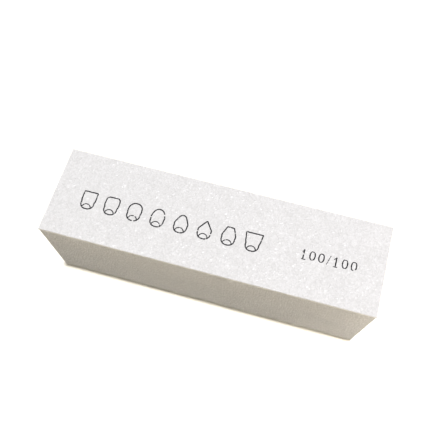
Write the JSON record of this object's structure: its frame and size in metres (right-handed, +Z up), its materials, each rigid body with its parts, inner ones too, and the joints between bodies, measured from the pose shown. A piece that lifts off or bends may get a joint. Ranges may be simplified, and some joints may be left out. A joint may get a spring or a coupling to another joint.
{
  "type": "nail buffer block",
  "caption": "Rectangular four-sided nail buffer block: a soft foam bar faced with white abrasive paper on its long sides, for smoothing nail surfaces by hand.",
  "frame": {"origin": "under the middle of the block, on the surface that it lies on", "axes": "+X along the block, with the grit marks read from its -Y side and ending towards +X; +Z up through the printed face; -Y the long side nearest the reader"},
  "size_m": [0.09, 0.0256, 0.0256],
  "materials": {
    "foam": "matte",
    "glue": "satin",
    "paper": "matte",
    "grit": "matte"
  },
  "bodies": {
    "root": {"foam_core": "foam", "glue_film_top": "glue", "glue_film_bottom": "glue", "glue_film_front": "glue", "glue_film_back": "glue", "backing_paper_top": "paper", "backing_paper_bottom": "paper", "backing_paper_front": "paper", "backing_paper_back": "paper", "grit_coat_top": "grit", "grit_coat_bottom": "grit", "grit_coat_front": "grit", "grit_coat_back": "grit"}
  },
  "joints": []
}
